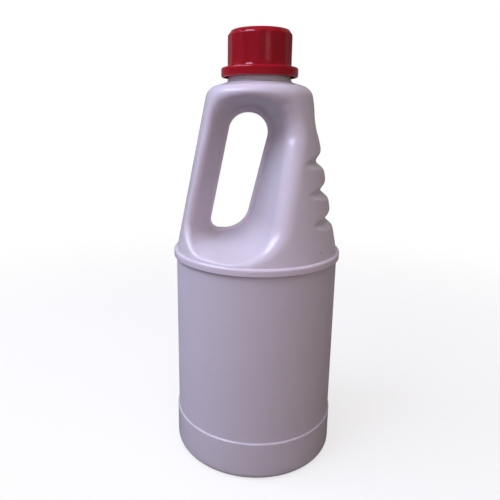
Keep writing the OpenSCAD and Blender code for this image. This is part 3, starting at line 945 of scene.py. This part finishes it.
flute_nodes, flute_names = flute_tree()
cap_mesh = plain_cap.data
bpy.data.objects.remove(plain_cap)
cap = with_nodes(
    "screw_cap", cap_mesh, flute_nodes, flute_names,
    {
        "Flutes": float(FLUTES), "Depth": FLUTE_DEPTH * MM, "Land": FLUTE_LAND * MM,
        "Radius": CAP_R * MM, "Low Edge": (SKIRT_TOP + FLUTE_LIFT) * MM, "Turn": FLUTE_TURN,
        "Material": polypropylene,
    },
)
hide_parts("cap")
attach(cap, "cap")
# The cap's thread runs in the gap under the neck's, and is a little slimmer
cap_thread_drop = (1 + CAP_THREAD_SHARE) * THREAD_ROOT + THREAD_CREST + CAP_THREAD_GAP
cap_thread = with_nodes(
    "cap_thread", bpy.data.meshes.new("cap_thread"), thread_nodes, thread_names,
    {
        "Turns": TURNS, "Pitch": PITCH * MM, "Radius": CAP_IN_R * MM, "Shift": -THREAD_SHIFT * MM,
        "Foot": (THREAD_TOP - cap_thread_drop - PITCH * TURNS) * MM, "Height": THREAD_HEIGHT * MM,
        "Root": CAP_THREAD_SHARE * 2 * THREAD_CREST * MM,
        "Crest": CAP_THREAD_SHARE * 2 * THREAD_ROOT * MM, "Material": polypropylene,
    },
)
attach(cap_thread, "cap")

# Sealing wad: a disc of pressed polyethylene foam that lies under the cap's top.
# It closes the mouth of the neck; the shallow ring that the neck's rim leaves in its underside is not
# drawn.
WAD_R = 15.7
WAD_COLUMNS = 128
wad_profile = filleted(
    [
        (MIDDLE_R, CAP_CEILING, 0, 0),
        (WAD_R, CAP_CEILING, 0.25, 4),
        (WAD_R, MOUTH_Z, 0.25, 4),
        (MIDDLE_R, MOUTH_Z, 0, 0),
    ]
)
wad_rings = turned_rings(spaced(wad_profile, 2.0), whole_ring(WAD_COLUMNS))
wad_shell = Shell()
wad_shell.add(wad_rings)
wad_shell.add_cap(wad_rings[0], (0, 0, CAP_CEILING))
wad_shell.add_cap(wad_rings[-1], (0, 0, MOUTH_Z))
wad = make_object("sealing_wad", np.vstack(wad_shell.points), wad_shell.faces)
foam, tree, place, output = new_material("pressed_foam")
cells = add_node(tree, "ShaderNodeTexVoronoi", {"Vector": place, "Scale": 1800.0}).outputs["Distance"]
bump = add_node(
    tree, "ShaderNodeBump", {"Height": cells, "Strength": 0.5, "Distance": 0.00008}
).outputs["Normal"]
shader = add_node(
    tree, "ShaderNodeBsdfPrincipled",
    {"Base Color": hex_colour("#dedad2"), "Roughness": 0.7, "Normal": bump},
)
tree.links.new(shader.outputs[0], output.inputs["Surface"])
wad.data.materials.append(foam)
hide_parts("cap_liner")
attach(wad, "cap_carrier")

# Floor and backdrop, plain and pale, which aren't part of the object.
# The camera sees the paper near white, and a reflection sees a small share of that. It keeps the
# soft shadow close to the bottle, and further out it runs into the white of the backdrop.


def white_share(tree, reflected):
    """How much of the studio's white a ray sees: the camera all of it, a reflection that share."""
    path = add_node(tree, "ShaderNodeLightPath").outputs
    mirrored = add_node(
        tree, "ShaderNodeMath", {0: path["Is Glossy Ray"], 1: reflected}, operation="MULTIPLY"
    ).outputs[0]
    direct = add_node(
        tree, "ShaderNodeMath", {0: path["Is Camera Ray"], 1: mirrored}, operation="MAXIMUM"
    ).outputs[0]
    return add_node(
        tree, "ShaderNodeMath", {0: direct, 1: path["Is Transmission Ray"]}, operation="MAXIMUM"
    ).outputs[0]


floor_mesh = bpy.data.meshes.new("floor")
floor_mesh.from_pydata([(-4, -4, 0), (4, -4, 0), (4, 4, 0), (-4, 4, 0)], [], [(0, 1, 2, 3)])
floor = bpy.data.objects.new("floor", floor_mesh)
bpy.context.scene.collection.objects.link(floor)
paper, tree, place, output = new_material("pale_paper")
depth = add_node(tree, "ShaderNodeSeparateXYZ", {"Vector": place}).outputs["Y"]
behind = add_node(
    tree, "ShaderNodeMapRange",
    {"Value": depth, "From Min": -0.1, "From Max": 0.4, "To Min": 0.05, "To Max": 0.15},
).outputs["Result"]
seen = white_share(tree, behind)
away = add_node(tree, "ShaderNodeVectorMath", {0: place}, operation="LENGTH").outputs["Value"]
spread = add_node(
    tree, "ShaderNodeMapRange",
    {"Value": away, "From Min": 0.15, "From Max": 0.6, "To Min": 0.7, "To Max": 1.0},
    interpolation_type="SMOOTHSTEP",
).outputs["Result"]
share = add_node(tree, "ShaderNodeMath", {0: seen, 1: spread}, operation="MULTIPLY").outputs[0]
sheet = add_node(
    tree, "ShaderNodeMix", {"Factor": seen, 6: hex_colour("#565253"), 7: hex_colour("#f2f0ef")},
    data_type="RGBA",
).outputs[2]
matt = add_node(tree, "ShaderNodeBsdfDiffuse", {"Color": sheet}).outputs[0]
pale = add_node(
    tree, "ShaderNodeEmission", {"Color": hex_colour("#ffffff"), "Strength": 1.0}
).outputs[0]
mixed = add_node(tree, "ShaderNodeMixShader", {"Fac": share, 1: matt, 2: pale}).outputs[0]
tree.links.new(mixed, output.inputs["Surface"])
floor_mesh.materials.append(paper)

# The camera sees a white backdrop, and a reflection sees a small share of it behind the bottle.
# The room lights the bottle more from the left, and is dim where it is reflected.
world = bpy.data.worlds.new("studio")
world.use_nodes = True
tree = world.node_tree
tree.nodes.clear()
path = add_node(tree, "ShaderNodeLightPath").outputs
heading = add_node(tree, "ShaderNodeTexCoord").outputs["Generated"]
backwards = add_node(tree, "ShaderNodeSeparateXYZ", {"Vector": heading}).outputs["Y"]
behind = add_node(
    tree, "ShaderNodeMapRange", {"Value": backwards, "From Min": 0.3, "From Max": 0.9, "To Max": 0.15}
).outputs["Result"]
seen = white_share(tree, behind)
sideways = add_node(tree, "ShaderNodeSeparateXYZ", {"Vector": heading}).outputs["X"]
level = add_node(
    tree, "ShaderNodeMapRange", {"Value": sideways, "From Min": -1.0, "To Min": 0.62, "To Max": 0.2}
).outputs["Result"]
dimmed = add_node(
    tree, "ShaderNodeMapRange", {"Value": path["Is Glossy Ray"], "To Min": level, "To Max": 0.12}
).outputs["Result"]
room = add_node(
    tree, "ShaderNodeBackground", {"Color": hex_colour("#f3e9ec"), "Strength": dimmed}
).outputs[0]
white = add_node(
    tree, "ShaderNodeBackground", {"Color": hex_colour("#ffffff"), "Strength": 1.0}
).outputs[0]
mixed = add_node(tree, "ShaderNodeMixShader", {"Fac": seen, 1: room, 2: white}).outputs[0]
add_node(tree, "ShaderNodeOutputWorld", {"Surface": mixed})
bpy.context.scene.world = world
bpy.context.scene.view_settings.view_transform = "Standard"


def soft_box(name, place, aim_height, size, power, colour, mirrored=True):
    """A studio lamp: a lit rectangle that aims at a height on the bottle's axis."""
    lamp = bpy.data.lights.new(name, "AREA")
    lamp.shape = "RECTANGLE"
    lamp.size, lamp.size_y = size
    lamp.energy = power
    lamp.color = hex_colour(colour)[:3]
    thing = bpy.data.objects.new(name, lamp)
    thing.location = place
    heading = Vector((0, 0, aim_height)) - Vector(place)
    thing.rotation_euler = heading.to_track_quat("-Z", "Y").to_euler()
    thing.visible_glossy = mirrored
    bpy.context.scene.collection.objects.link(thing)


soft_box("window_lamp", (-0.58, -0.24, 0.84), 0.16, (0.8, 0.32), 6.8, "#d2deff")
soft_box("ceiling_lamp", (-0.08, -0.24, 1.05), 0.16, (0.8, 0.8), 4.2, "#eeeeff", mirrored=False)
soft_box("room_lamp", (0.24, -0.38, 0.24), 0.19, (0.25, 0.2), 0.3, "#ffe4d4", mirrored=False)
soft_box("front_lamp", (-0.22, -0.42, 0.2), 0.19, (0.25, 0.2), 0.24, "#dfe6ff", mirrored=False)
soft_box("glint_lamp", (0.25, -1.0, 0.37), 0.2, (0.012, 0.12), 0.015, "#ffffff")
